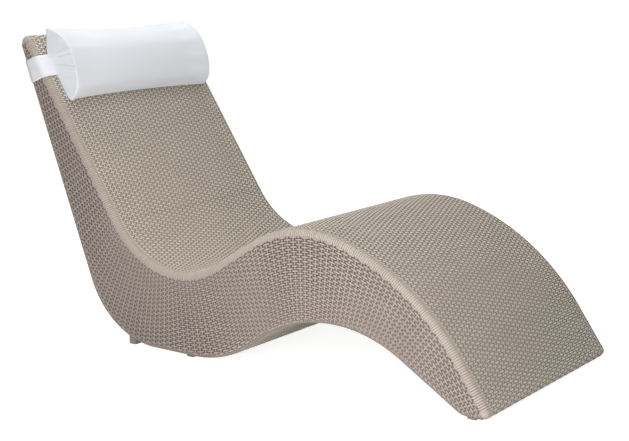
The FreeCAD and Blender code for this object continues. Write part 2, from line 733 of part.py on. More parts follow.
def band_turn(extra):
    """The elastic's line round one edge of the back face, at a distance outside its inner face."""
    edge_y, radius = size("body_width") / 2, gap + extra
    return plane_points([(edge_y + radius, size("strap_side_reach")), (edge_y + radius, 0),
                         (edge_y + radius * slant, -radius * slant), (edge_y, -radius)])


def band_line(extra):
    """The whole line, from the right side round the back to the left side."""
    reach, side_end, corner, back_end = band_turn(extra)
    mirrored = [FreeCAD.Vector(-point.x, point.y, 0) for point in (reach, side_end, corner, back_end)]
    return [Part.LineSegment(mirrored[0], mirrored[1]), Part.Arc(*mirrored[1:]),
            Part.LineSegment(mirrored[3], back_end), Part.Arc(back_end, corner, side_end),
            Part.LineSegment(side_end, reach)], mirrored[0], reach


elastic = new_body("strap_elastic")
inner_line, inner_right, inner_left = band_line(0)
outer_line, outer_right, outer_left = band_line(strap_thick)
band_ends = [Part.LineSegment(inner_right, outer_right), Part.LineSegment(inner_left, outer_left)]
section = new_sketch(elastic, "section", inner_line + outer_line + band_ends, role="YZ_Plane")
pad(elastic, section, "sizes.strap_width", symmetric=False)
elastic.Placement = strap_frame
keep("strap_elastic", elastic)

document.recompute()
for thing in document.Objects:
    if "Invalid" in thing.State or "Error" in thing.State:
        raise ValueError("failed: " + thing.Label)
os.makedirs("parts", exist_ok=True)
for node in nodes:
    if node.Shape.isNull() or not node.Shape.isValid():
        raise ValueError("bad shape: " + node.Label)
    node.Shape.exportStep("parts/" + node.Label + ".step")
print(len(nodes), "nodes")
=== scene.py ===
import math

import bpy
import numpy as np
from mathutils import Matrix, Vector


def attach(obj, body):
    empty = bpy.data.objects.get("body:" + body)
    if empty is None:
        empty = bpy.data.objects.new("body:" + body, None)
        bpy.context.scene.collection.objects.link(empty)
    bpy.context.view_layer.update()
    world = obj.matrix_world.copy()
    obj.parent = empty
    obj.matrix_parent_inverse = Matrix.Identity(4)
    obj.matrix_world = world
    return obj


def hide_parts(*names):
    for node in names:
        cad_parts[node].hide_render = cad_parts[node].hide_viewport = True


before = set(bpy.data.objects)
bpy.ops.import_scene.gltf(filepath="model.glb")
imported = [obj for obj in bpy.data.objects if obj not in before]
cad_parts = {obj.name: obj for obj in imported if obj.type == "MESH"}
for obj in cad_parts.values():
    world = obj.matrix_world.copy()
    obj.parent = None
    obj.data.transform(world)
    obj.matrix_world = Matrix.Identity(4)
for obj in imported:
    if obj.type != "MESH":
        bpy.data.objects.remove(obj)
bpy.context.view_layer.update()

# Looks of a woven spa lounger with a half-round head pillow. All sizes are in metres. +X runs
# towards the foot end, +Z is up, and the lounger's right side, at -Y, is near the camera.

MM = 0.001
SEED = 41
TINY = 1e-12
BODY_HALF = 350 * MM  # half the width over the weave

# ---- camera

CAMERA_PLACE = (2.3569, -3.2075, 1.1395)
CAMERA_LOOK = (-0.57558, 0.79515, -0.19096)
CAMERA_LENS = 77.88
CAMERA_SENSOR = 36
CAMERA_CLIP = (0.1, 100)
camera = bpy.data.objects.new("camera", bpy.data.cameras.new("camera"))
bpy.context.scene.collection.objects.link(camera)
camera.location = CAMERA_PLACE
camera.rotation_mode = "QUATERNION"
camera.rotation_quaternion = Vector(CAMERA_LOOK).to_track_quat("-Z", "Y")
camera.data.lens = CAMERA_LENS
camera.data.sensor_width = CAMERA_SENSOR
camera.data.clip_start, camera.data.clip_end = CAMERA_CLIP
bpy.context.scene.camera = camera

# ---- shader maths


class Wire:
    """A node's output, or a plain number or colour, that takes part in shader maths."""

    def __init__(self, nodes, value):
        self.nodes = nodes
        self.value = value

    def math(self, operation, *others):
        return self.nodes.add("ShaderNodeMath", {"operation": operation}, self, *others)

    def __add__(self, other):
        return self.math("ADD", other)

    __radd__ = __add__

    def __sub__(self, other):
        return self.math("SUBTRACT", other)

    def __rsub__(self, other):
        return self.nodes.add("ShaderNodeMath", {"operation": "SUBTRACT"}, other, self)

    def __mul__(self, other):
        return self.math("MULTIPLY", other)

    __rmul__ = __mul__

    def __pow__(self, other):
        return self.math("POWER", other)

    def sine(self):
        return self.math("SINE")

    def absolute(self):
        return self.math("ABSOLUTE")

    def kept(self):
        """The same number, held between 0 and 1."""
        return self.nodes.add("ShaderNodeClamp", {}, self)


class Finish:
    """One material, or the sky, and its nodes."""

    def __init__(self, name, shelf=bpy.data.materials):
        self.made = shelf.new(name)
        self.made.use_nodes = True
        self.tree = self.made.node_tree
        self.shader = self.tree.nodes.get("Principled BSDF")

    def add(self, kind, settings, *values, out=0, **named):
        """A node of that kind: its settings first, then its sockets in order or by name."""
        node = self.tree.nodes.new(kind)
        for key, value in settings.items():
            setattr(node, key, value)
        for index, value in enumerate(values):
            self.feed(node.inputs[index], value)
        for key, value in named.items():
            self.feed(node.inputs[key.replace("_", " ")], value)
        return Wire(self, node.outputs[out])

    def feed(self, socket, value):
        """Links a value to a socket, or sets the socket to a plain one."""
        if isinstance(value, Wire):
            self.tree.links.new(value.value, socket)
        elif value is not None:
            socket.default_value = value

    def place(self):
        """Position on the object, in metres."""
        return self.add("ShaderNodeTexCoord", {}, out="Object")

    def noise(self, scale, detail):
        """Uneven spots, that many to the metre."""
        return self.add("ShaderNodeTexNoise", {}, Vector=self.place(), Scale=scale, Detail=detail)

    def kept_value(self, name):
        """A number that the mesh carries at each of its points."""
        return self.add("ShaderNodeAttribute", {"attribute_name": name}, out="Fac")

    def mixed(self, share, first, second):
        """From the first colour to the second, by a share."""
        ends = (end if isinstance(end, Wire) else (*end, 1) for end in (first, second))
        return self.add("ShaderNodeMix", {"data_type": "RGBA"}, share, *(None,) * 5, *ends, out=2)

    def bump(self, height, depth):
        """A normal from a height, whose full step is that depth in metres."""
        return self.add("ShaderNodeBump", {}, Height=height, Distance=depth, Strength=1.0)

    def wear(self, colour, roughness, normal=None, **constants):
        """Feeds the shader: what changes over the surface, then plain constants."""
        self.feed(self.shader.inputs["Base Color"], colour)
        self.feed(self.shader.inputs["Roughness"], roughness)
        if normal is not None:
            self.feed(self.shader.inputs["Normal"], normal)
        for key, value in constants.items():
            self.shader.inputs[key.replace("_", " ")].default_value = value
        return self.made

    def seen_as(self, light, seen, output):
        """One shader for the light, and another for what the camera sees."""
        rays = self.add("ShaderNodeLightPath", {}, out="Is Camera Ray")
        both = self.add("ShaderNodeMixShader", {}, rays, light, seen)
        self.feed(self.tree.nodes[output].inputs[0], both)
        return self.made


def shade(red, green, blue):
    """A colour from its sRGB numbers, 0 to 255."""
    return tuple(((number / 255 + 0.055) / 1.055) ** 2.4 if number > 10 else number / 3295
                 for number in (red, green, blue))


# Grains are spots to the metre. Turns are radians to the metre, or from a strand's or a band's
# middle to its edge. Reliefs are depths in metres.
STRAND_CLOUDS = 9.0
STRAND_SPECKS = 900.0
STRAND_RIB_TURNS = 14.0
# how dark the painted shade is at a strand's edges
STRAND_EDGE_SHADE = 0.55
STRAND_RELIEF = 0.12 * MM


def strand_finish(name, pale, deep, low):
    """Moulded half-round strand: each strand has its own tone, with fine ribs along it. Painted
    shade darkens its edges and the crossings where it dips under another strand."""
    make = Finish(name)
    tone = make.kept_value("tone")
    across = make.kept_value("across")
    cloud = make.noise(STRAND_CLOUDS, 3.0)
    speck = make.noise(STRAND_SPECKS, 2.0)
    body = make.mixed((tone * 0.3 + cloud * 0.7).kept(), deep, pale)
    # painted shade towards the edges, where the strand curves down beside its neighbours
    edge = (across.absolute() ** 3.0) * STRAND_EDGE_SHADE
    soft = make.mixed(edge, body, low)
    # painted shade in the crossings, where a strand dips under another or turns round the lower
    # edge
    shaded = make.mixed(make.kept_value("sunk").kept(), soft, low)
    colour = make.mixed((speck - 0.45) * 0.35, shaded, low)
    ribs = (across * STRAND_RIB_TURNS).sine() * 0.5 + speck * 0.5
    rough = (speck * 0.18 + 0.42).kept()
    return make.wear(colour, rough, make.bump(ribs, STRAND_RELIEF), IOR=1.46)


CLOTH_GRAIN = 1400.0
CLOTH_CLOUDS = 7.0
CLOTH_RELIEF = 1.1 * MM
SEAM_FADE = 110.0  # of the seam's dark line, to the metre
PUCKER_GRAIN = 170.0
PUCKER_FADE = 75.0


def cover_finish(name):
    """Soft-touch white upholstery cloth, puckered along its seams."""
    make = Finish(name)
    fine = make.noise(CLOTH_GRAIN, 2.0)
    broad = make.noise(CLOTH_CLOUDS, 2.0)
    seam = make.kept_value("seam")
    cloth = make.mixed((broad * 0.5 + fine * 0.3).kept(), shade(228, 232, 237),
                       shade(239, 241, 245))
    colour = make.mixed((0.25 - seam * SEAM_FADE).kept(), cloth, shade(150, 154, 162))
    puckers = make.noise(PUCKER_GRAIN, 2.0) * (1.0 - seam * PUCKER_FADE).kept()
    rough = (fine * 0.15 + 0.5).kept()
    relief = make.bump(fine * 0.08 + puckers, CLOTH_RELIEF)
    return make.wear(colour, rough, relief, Sheen_Weight=0.15)


WEB_GRAIN = 1500.0
WEB_RIB_TURNS = 3200.0  # of the ribs across the band
WEB_THREAD_TURNS = 90.0  # of the threads along it
WEB_RELIEF = 0.14 * MM
HEM_PLACE = 0.84  # from the band's middle to its edge
HEM_FADE = 40.0
STITCH_TURNS = 1600.0


def band_finish(name):
    """White webbing, ribbed across, with a stitched hem along both edges."""
    make = Finish(name)
    across = make.kept_value("across")
    along = make.kept_value("along")
    fine = make.noise(WEB_GRAIN, 1.0)
    ribs = (along * WEB_RIB_TURNS).sine() * 0.5 + (across * WEB_THREAD_TURNS).sine() * 0.25 + 0.5
    hem = (1.0 - (across.absolute() - HEM_PLACE).absolute() * HEM_FADE).kept()
    stitch = hem * (((along * STITCH_TURNS).sine() + 0.4) * 4.0).kept()
    cloth = make.mixed((fine * 0.4).kept(), shade(230, 230, 236), shade(238, 238, 243))
    colour = make.mixed(stitch * 0.35, cloth, shade(168, 168, 176))
    rough = (fine * 0.1 + 0.55).kept()
    return make.wear(colour, rough, make.bump(ribs - stitch * 2.0, WEB_RELIEF))


PLAIN_CLOUDS = 14.0
PLAIN_RELIEF = 0.1 * MM


def plain_finish(name, colour, low, roughness, grain, metal=0.0):
    """Moulded plastic or coated metal with a fine grain."""
    make = Finish(name)
    fine = make.noise(grain, 3.0)
    broad = make.noise(PLAIN_CLOUDS, 2.0)
    body = make.mixed((broad * 0.6 + fine * 0.4).kept(), low, colour)
    rough = (fine * 0.2 + roughness - 0.1).kept()
    return make.wear(body, rough, make.bump(fine, PLAIN_RELIEF), Metallic=metal)


# One strand in three copies: the side's and the band's are darker than the seat's, painted shade
# for the less light that falls on those parts.
SEAT_STRAND = strand_finish("strand_seat", shade(236, 224, 209), shade(214, 202, 187),
                            shade(63, 57, 50))
SIDE_STRAND_SHADED = strand_finish("strand_side_shaded", shade(190, 175, 165), shade(170, 155, 146),
                            shade(52, 46, 42))
BAND_STRAND_SHADED = strand_finish("strand_band_shaded", shade(194, 182, 171), shade(178, 165, 154),
                            shade(96, 87, 80))
# a dark sheet of painted shade inside the weave, seen through the gaps between the strands
INNER_SHADE_SKIN = plain_finish("weave_inner_painted_shade", shade(70, 64, 58), shade(56, 51, 46), 0.8, 500.0)
COVER_CLOTH = cover_finish("cover_cloth")
WEBBING = band_finish("webbing")

# ---- the lounger's girth

# Each step is (length, 0) of a straight run or (radius, turn in degrees) of an arc, from the
# head end over the seat, round the toe tube, back along the underside and round the head tube.
GIRTH_START = (-784.4, 891.7)
GIRTH_HEADING = -56.2
SEAT_STEPS = ((631.9, 0), (276.4, 89.5), (132.3, 0), (372.7, -49.5), (684.0, -38.7), (137.1, 0))
TOE_STEPS = ((17.6, -125.1),)
UNDER_STEPS = ((41.5, 0), (60.0, -31.3), (198.1, 0), (412.9, 70.0), (369.3, -38.7), (150.6, 0),
               (271.7, -68.9), (745.8, 0))
HEAD_STEPS = ((18.6, -167.3),)


def run_length(steps):
    """The length of those steps, in metres."""
    return sum(abs(math.radians(turn)) * size if turn else size for size, turn in steps) * MM


class Girth:
    """The closed outline seen from the side, with its outward normal on the left."""

    def __init__(self, start, heading, steps):
        self.parts = []
        place = np.array(start) * MM
        angle = math.radians(heading)
        reached = 0.0
        for size, turn in steps:
            sign = float(np.sign(turn))
            swing = math.radians(turn)
            length = (abs(swing) * size if turn else size) * MM
            self.parts.append((reached, length, place, angle, size * MM, sign))
            if turn:
                middle = place + sign * size * MM * self.left(angle)
                place = middle - sign * size * MM * self.left(angle + swing)
            else:
                place = place + length * np.array((math.cos(angle), math.sin(angle)))
            angle += swing
            reached += length
        self.length = reached

    @staticmethod
    def left(angle):
        """The direction square to a heading, on its left."""
        return np.stack((-np.sin(angle), np.cos(angle)), axis=-1)

    def at(self, along):
        """Points (x, z) and outward normals at these distances along the outline."""
        along = np.mod(np.asarray(along, float), self.length)
        points = np.zeros((*along.shape, 2))
        normals = np.zeros((*along.shape, 2))
        for reached, length, place, angle, radius, sign in self.parts:
            here = (along >= reached - TINY) & (along <= reached + length)
            step = along[here] - reached
            if sign:
                turned = angle + sign * step / radius
                middle = place + sign * radius * self.left(angle)
                points[here] = middle - sign * radius * self.left(turned)
                normals[here] = self.left(turned)
            else:
                points[here] = place + step[:, None] * np.array((math.cos(angle), math.sin(angle)))
                normals[here] = self.left(np.full(step.shape, angle))
        return points, normals


girth = Girth(GIRTH_START, GIRTH_HEADING, SEAT_STEPS + TOE_STEPS + UNDER_STEPS + HEAD_STEPS)
SEAT_RUN, TOE_RUN, UNDER_RUN, HEAD_RUN = map(
    run_length, (SEAT_STEPS, TOE_STEPS, UNDER_STEPS, HEAD_STEPS))

# ---- strands

# Weavers lie close together and pass over and under the stakes, which stand further apart. On
# the seat and the back the weavers run across, and on the sides they run along in rows.
WEAVER_COUNT = 686  # weavers round the whole girth, an even number
WEAVER_PITCH = girth.length / WEAVER_COUNT
STAKE_PITCH = 18.2 * MM
WEAVER_WIDTH = 6.5 * MM
STAKE_WIDTH = 6.2 * MM
WEAVER_THICK = 1.9 * MM
STAKE_THICK = 1.5 * MM
WEAVER_RISE = 1.3 * MM  # over and under the stakes
STAKE_RISE = 0.9 * MM
SINK = 1.35 * MM  # of the weave's middle below the outer face
SKIN_SINK = 2.5 * MM  # of the dark sheet inside the weave, painted shade
EDGE_RADIUS = 15.1 * MM
LOW_RADIUS = 4 * MM
RIM_SINK = 0.9 * MM  # of the back's weavers where they turn up round the lower edges
RIM_TUCK = 2.0 * MM  # of their ends, under the rows of the side
RIM_REACH = 15 * MM  # how far up the side they turn
RIM_POINTS = 4  # round the lower edge
RIM_STEPS = np.array((0.6, 1.0))  # of that reach: the points up the side
# painted shade on the back's weavers where they turn round the lower edge and face the floor
RIM_SHADE = 0.6
STAKE_SHADE = 0.46  # how much of the crossings' painted shade a stake has where it dips
WEAVER_SHARES = (-0.375, -0.125, 0.125, 0.375)  # of a stake pitch: the weavers' points
STAKE_SHARES = (-0.27, 0.27)  # of a weaver pitch: the ends of a stake's flat top
NEAR_STAKE = 0.25  # of a stake pitch: the weaver's two middle points are nearer than that

# A weaver's heights, and its painted shade, over a stake and under one: first at its two middle
# points, then at the points beside them.
OVER_HEIGHTS, UNDER_HEIGHTS = (1.0, 0.65), (-1.0, 0.1)
OVER_SHADES, UNDER_SHADES = (0.0, 0.12), (1.0, 0.5)
UNEVEN = 0.12 * MM  # how far a weaver or a long stake strays from its place

random = np.random.default_rng(SEED)


def unit(vectors):
    """The same directions, one long."""
    return vectors / np.maximum(np.linalg.norm(vectors, axis=-1, keepdims=True), TINY)


# A strand's section: flat on top, with round sides. Places across and up, as shares of half
# its width and half its thickness.
STRAND_SECTION = ((1.0, 0.0), (0.4, 0.95), (-0.4, 0.95), (-1.0, 0.0), (0.0, -1.0))
SECTION_COUNT = len(STRAND_SECTION)


def grid_faces(index):
    """Quads between the points of a grid, from the points' numbers."""
    corners = (index[:-1, :-1], index[1:, :-1], index[1:, 1:], index[:-1, 1:])
    return np.stack(corners, axis=-1).reshape(-1, 4)


def strand(line, up, width, thick):
    """Corner points of a strand along a line: (points of the line, corners, 3)."""
    ahead = unit(np.gradient(line, axis=0))
    beside = unit(np.cross(ahead, up)) * width / 2
    top = unit(np.cross(beside, ahead)) * thick / 2
    return np.stack([line + beside * a + top * b for a, b in STRAND_SECTION], axis=1)


def mesh_object(name, points, faces, material, **values):
    """An object from points and arrays of faces, with numbers kept at its points."""
    data = bpy.data.meshes.new(name)
    loops = np.concatenate([face.ravel() for face in faces]).astype(np.int32)
    sizes = np.concatenate([np.full(len(face), face.shape[1]) for face in faces])
    starts = np.concatenate(((0,), np.cumsum(sizes)[:-1])).astype(np.int32)
    data.vertices.add(len(points))
    data.vertices.foreach_set("co", np.asarray(points, np.float32).ravel())
    data.loops.add(len(loops))
    data.loops.foreach_set("vertex_index", loops)
    data.polygons.add(len(sizes))
    data.polygons.foreach_set("loop_start", starts)
    data.polygons.foreach_set("use_smooth", np.ones(len(sizes), bool))
    for key, numbers in values.items():
        kept = data.attributes.new(key, "FLOAT", "POINT")
        kept.data.foreach_set("value", np.asarray(numbers, np.float32).ravel())
    data.materials.append(material)
    data.update(calc_edges=True)
    data.validate()
    made = bpy.data.objects.new(name, data)
    bpy.context.scene.collection.objects.link(made)
    return made


def strands_object(name, runs, material):
    """One object from many strands. Each run is (line, up, width, thick, painted shade)."""
    points, sides, flat_ends, pointed_ends, tones, acrosses, sunken = [], [], [], [], [], [], []
    start = 0
    for line, up, width, thick, sunk in runs:
        corners = strand(line, up, width, thick)
        count = len(line)
        ring = np.arange(count * SECTION_COUNT).reshape(count, SECTION_COUNT) + start
        beyond = np.roll(ring, -1, axis=1)
        sides.append(np.stack((beyond[:-1], beyond[1:], ring[1:], ring[:-1]), -1).reshape(-1, 4))
        flat_ends += [ring[0, [0, 1, 2, 3]], ring[-1, [3, 2, 1, 0]]]
        pointed_ends += [ring[0, [0, 3, 4]], ring[-1, [4, 3, 0]]]
        points.append(corners.reshape(-1, 3))
        tones.append(np.full(count * SECTION_COUNT, random.random()))
        acrosses.append(np.tile([across for across, _ in STRAND_SECTION], count))
        sunken.append(np.repeat(np.broadcast_to(sunk, count), SECTION_COUNT))
        start += count * SECTION_COUNT
    faces = [*sides, np.array(flat_ends), np.array(pointed_ends)]
    return mesh_object(name, np.concatenate(points), faces, material, tone=np.concatenate(tones),
                       across=np.concatenate(acrosses), sunk=np.concatenate(sunken))


def steps_over(first, last, shares):
    """Places counted in crossings, at these shares of a pitch from each, and their crossings."""
    crossings = np.arange(first, last)
    places = crossings[:, None] + np.array(shares)
    return places.ravel(), np.repeat(crossings, len(shares))


def in_space(flat, y):
    """Points in space from points seen from the side, (x, z), and their y."""
    return np.stack((flat[..., 0], np.broadcast_to(y, flat.shape[:-1]), flat[..., 1]), axis=-1)


def on_girth(along, offset, y):
    """Points in space at distances along the girth, that far out, at that y, and normals."""
    flat, out = girth.at(along)
    return in_space(flat + out * np.asarray(offset)[..., None], y), in_space(out, 0.0)


def over(stake, weaver):
    """1 where the weaver is on top, and -1 where the stake is."""
    return np.where((stake + weaver) % 2 == 0, 1.0, -1.0)


def weaver_form(shares, top):
    """How far a weaver's points lie from the middle of the weave, and how much painted shade they
    get. It lies high over a stake and far past it, and dips steeply under the next one."""
    near = np.abs(shares) < NEAR_STAKE
    height, shadow = (np.where(top > 0, np.where(near, *above), np.where(near, *below))
                      for above, below in ((OVER_HEIGHTS, UNDER_HEIGHTS),
                                           (OVER_SHADES, UNDER_SHADES)))
    return WEAVER_RISE * height, shadow


def long_stake_runs(stakes, places, first, last):
    """Stakes along the lounger between two weavers."""
    steps, crossing = steps_over(first, last, STAKE_SHARES)
    for stake in stakes:
        top = over(stake, crossing)
        shift = places[stake] + random.normal(0, UNEVEN)
        line, up = on_girth(steps * WEAVER_PITCH, -STAKE_RISE * top - SINK, shift)
        yield line, up, STAKE_WIDTH, STAKE_THICK, STAKE_SHADE * (1 + top)


def rim_path():
    """A back weaver's turn round the lower edge and up the side: how far across it is, how far
    out from the back, and how far its face leans to the side."""
    turn = np.linspace(0, math.pi / 2, RIM_POINTS)
    radius = LOW_RADIUS - RIM_SINK
    across = BODY_HALF - LOW_RADIUS + radius * np.sin(turn)
    height = -LOW_RADIUS + radius * np.cos(turn)
    return (np.append(across, np.full(RIM_STEPS.shape, BODY_HALF - RIM_TUCK)),
            np.append(height, -RIM_REACH * RIM_STEPS),
            np.append(turn, np.full(RIM_STEPS.shape, turn[-1])))


def cross_weaver_runs(weavers, places, edge, wraps):
    """Weavers across the lounger, over stakes at these places. They may wrap round the edges."""
    steps, stake = steps_over(0, len(places), WEAVER_SHARES)
    ends = np.concatenate(((-edge,), places, (edge,)))
    across = np.interp(steps, np.arange(-1, len(places) + 1), ends)
    lean = np.zeros(across.shape)
    if wraps:
        rim_across, rim_height, rim_lean = rim_path()
        across = np.concatenate((-rim_across[::-1], across, rim_across))
        lean = np.concatenate((-rim_lean[::-1], lean, rim_lean))
    for weaver in weavers:
        height, sunk = weaver_form(steps - stake, over(stake, weaver))
        height = height - SINK
        if wraps:
            height = np.concatenate((rim_height[::-1], height, rim_height))
            sunk = np.pad(sunk, len(rim_height), constant_values=RIM_SHADE)
        along = weaver * WEAVER_PITCH + random.normal(0, UNEVEN)
        line, up = on_girth(np.full(across.shape, along), height, across)
        up = up * np.cos(lean)[:, None] + np.array((0, 1, 0)) * np.sin(lean)[:, None]
        yield line, up, WEAVER_WIDTH, WEAVER_THICK, sunk


seat_first = -round(HEAD_RUN / WEAVER_PITCH)
seat_last = round((SEAT_RUN + TOE_RUN) / WEAVER_PITCH)
under_last = WEAVER_COUNT + seat_first
SEAT_PLACES = np.arange(-18, 19) * STAKE_PITCH
OUTER_STAKE = 341 * MM  # on the back, beside the lower edge
UNDER_PLACES = np.concatenate(((-OUTER_STAKE,), SEAT_PLACES, (OUTER_STAKE,)))
SEAT_EDGE = BODY_HALF - EDGE_RADIUS + 0.5 * MM  # where the seat's weavers end
UNDER_EDGE = BODY_HALF - LOW_RADIUS - 1 * MM  # where the back's weavers begin to turn
WEAVER_PARTS = 3  # pieces that the weavers of the seat, or of the back, are made in


def weave_piece(name, runs, material, node, slot):
    """A piece of the lounger's weave, in place of a plain woven skin."""
    piece = strands_object(name, runs, material)
    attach(piece, "lounger")
    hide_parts(node)


for part, first, last, places, edge, node in (
        ("seat", seat_first, seat_last, SEAT_PLACES, SEAT_EDGE, "seat_weave"),
        ("back", seat_last, under_last, UNDER_PLACES, UNDER_EDGE, "back_weave")):
    half = len(places) // 2
    for side, stakes in (("right", range(half)), ("left", range(half, len(places)))):
        weave_piece(part + "_stakes_" + side, long_stake_runs(stakes, places, first, last + 1),
                    SEAT_STRAND, node, node)
    stops = np.linspace(first, last, WEAVER_PARTS + 1).round().astype(int)
    for number in range(WEAVER_PARTS):
        runs = cross_weaver_runs(range(stops[number], stops[number + 1]), places, edge,
                                 part == "back")
        weave_piece("%s_weavers_%d" % (part, number + 1), runs, SEAT_STRAND, node, node)

# The turn over the upper edge, where the seat's weavers lie side by side round the rail.

BAND_WIDTH = 7.2 * MM
BAND_THICK = 2.2 * MM
BAND_IN = 2.8 * MM  # on the seat, in from the rounded edge
BAND_DOWN = 3.4 * MM  # on the side, below the rounded edge
BAND_POINTS = 7  # round the edge
BAND_PROUD = (0.2, 0.45)  # how far its strands stand out of the outer face, in millimetres


def edge_path(sink):
    """The rounded edge's cross-section, that far below the face: distance in from the side,
    depth below the seat, and the outward normal across and up."""
    turn = np.linspace(0, math.pi / 2, BAND_POINTS)
    inward = EDGE_RADIUS - (EDGE_RADIUS - sink) * np.sin(turn)
    depth = EDGE_RADIUS - (EDGE_RADIUS - sink) * np.cos(turn)
    inward = np.concatenate(((EDGE_RADIUS + BAND_IN,), inward, (sink,)))
    depth = np.concatenate(((sink,), depth, (EDGE_RADIUS + BAND_DOWN,)))
    turn = np.concatenate(((0,), turn, (math.pi / 2,)))
    return inward, depth, np.sin(turn), np.cos(turn)


def band_runs(sign, first, last):
    """Strands of the smooth band round one upper edge, one for each weaver."""
    for number in range(first, last):
        sink = BAND_THICK / 2 - random.uniform(*BAND_PROUD) * MM
        inward, depth, outward, upward = edge_path(sink)
        along = np.full(inward.shape, number * WEAVER_PITCH + random.normal(0, UNEVEN))
        line, up = on_girth(along, -depth, sign * (BODY_HALF - inward))
        side = np.zeros(up.shape)
        side[:, 1] = sign
        yield line, up * upward[:, None] + side * outward[:, None], BAND_WIDTH, BAND_THICK, 0.0


for side, sign in (("right", -1), ("left", 1)):
    weave_piece("edge_band_" + side, band_runs(sign, seat_first, seat_last), BAND_STRAND_SHADED,
                "edge_wrap_" + side, "edge_wrap")

# Sides: stakes from the upper edge to the lower edge, and rows along them.

# How far along the seat a stake starts, and how far down the back and along the underside it
# ends, from the head end. The stakes stand nearly square to the rows.
STAKE_MATCH = ((-0.024, -0.024), (0.02, 0.014), (0.1, 0.095), (0.3, 0.299), (0.5, 0.519),
               (0.56, 0.593), (0.62, 0.691), (0.68, 0.804), (0.74, 0.919), (0.8, 1.021),
               (0.9, 1.174), (1.0, 1.326), (1.08, 1.421), (1.2, 1.528), (1.3, 1.598),
               (1.44, 1.69), (1.6, 1.801), (1.78, 1.925), (1.94, 2.041), (2.06, 2.136),
               (2.11, 2.186), (2.149, 2.243))
STAKE_PLACES = (0.5, 0.75, 1.6)  # from the head end, at half height
STAKE_SPACING = (20 * MM, 17.2 * MM, 16.4 * MM)  # there
STAKE_START = EDGE_RADIUS - 4 * MM  # below the seat, hidden by the smooth band
STAKE_END = 4.5 * MM  # how far above the lower edge a stake ends
STAKE_TUCK = 1.5 * MM  # how far inside the outline the corners of a stake's end are at least
SHORT_STAKE = 33 * MM  # shorter ones, past the middle of the end tubes, are left out
SHORT_RUN = 6 * MM  # and so is one with less than that between its ends
POINT_GAP = 1 * MM  # between a stake's end and its next point
SLANTED = 0.2  # the most slanted that a stake's end is taken to be
FIRST_ROW = EDGE_RADIUS + 5.5 * MM  # below the seat
LAST_ROW = 8.0 * MM  # above the lower edge
FULL_ROWS = 35  # where the side is deepest
ROW_SLACK = 0.1 * MM  # how far past the last row's place a row may run
ROW_UNEVEN = 0.1 * MM  # how far a row strays from its place
ROW_POINTS = 6  # the fewest that make a row
ROW_END_GAP = 0.05  # of a stake pitch, between a row's end and its next point
FINE_STEPS = 2000  # for measuring along the side
ROW_STEPS = 40  # between two stakes, for finding where a row ends


def smooth_match(table, values):
    """A rising curve through the table's pairs, with no kinks."""
    xs, ys = np.array(table).T
    slopes = np.diff(ys) / np.diff(xs)
    ends = np.concatenate(((slopes[0],), 2 * slopes[1:] * slopes[:-1] / (slopes[1:] + slopes[:-1]),
                           (slopes[-1],)))
    part = np.clip(np.searchsorted(xs, values) - 1, 0, len(xs) - 2)
    width = np.diff(xs)[part]
    t = (values - xs[part]) / width
    return ((2 * t**3 - 3 * t**2 + 1) * ys[part] + (t**3 - 2 * t**2 + t) * width * ends[part]
            + (3 * t**2 - 2 * t**3) * ys[part + 1] + (t**3 - t**2) * width * ends[part + 1])


def stake_ends(along):
    """Upper and lower ends, seen from the side, of stakes at distances along the seat, and the
    outline's normals there."""
    below = SEAT_RUN + TOE_RUN + UNDER_RUN - smooth_match(STAKE_MATCH, along)
    (high, out_high), (low, out_low) = girth.at(along), girth.at(below)
    return high, low, out_high, out_low


def side_grid():
    """For each stake: its upper end, its way down, its length, and how far inside the outline
    each of its ends stays, further where it meets the outline on the slant."""
    fine = np.linspace(STAKE_MATCH[0][0], STAKE_MATCH[-1][0], FINE_STEPS)
    middles = sum(stake_ends(fine)[:2]) / 2
    steps = np.linalg.norm(np.diff(middles, axis=0), axis=1)
    spacing = np.interp(np.cumsum(steps), STAKE_PLACES, STAKE_SPACING)
    counted = np.concatenate(((0,), np.cumsum(steps / spacing)))
    count = round(counted[-1])
    stations = np.interp(np.linspace(0, counted[-1], count + 1), counted, fine)
    high, low, out_high, out_low = stake_ends(stations)
    length = np.linalg.norm(low - high, axis=1)
    way = (low - high) / length[:, None]
    inside = []
    for out in (out_high, out_low):
        square = np.clip(np.abs((way * out).sum(axis=1)), SLANTED, 1)
        inside.append((STAKE_TUCK + STAKE_WIDTH / 2 * np.sqrt(1 - square**2)) / square)
    return high, way, length, inside[0], inside[1]


stake_high, stake_way, stake_length, high_inside, low_inside = side_grid()
row_pitch = np.maximum(WEAVER_PITCH, (stake_length - FIRST_ROW - LAST_ROW) / FULL_ROWS)


def side_points(index, depth, out, sign):
    """Points on a side, at stake numbers that may be fractions, down the stakes by a depth,
    and normals."""
    low_index = np.clip(np.floor(index).astype(int), 0, len(stake_length) - 2)
    part = (index - low_index)[..., None]
    high = stake_high[low_index] * (1 - part) + stake_high[low_index + 1] * part
    way = stake_way[low_index] * (1 - part) + stake_way[low_index + 1] * part
    points = in_space(high + way * depth[..., None], sign * (BODY_HALF + out))
    return points, np.broadcast_to((0.0, sign, 0.0), points.shape)


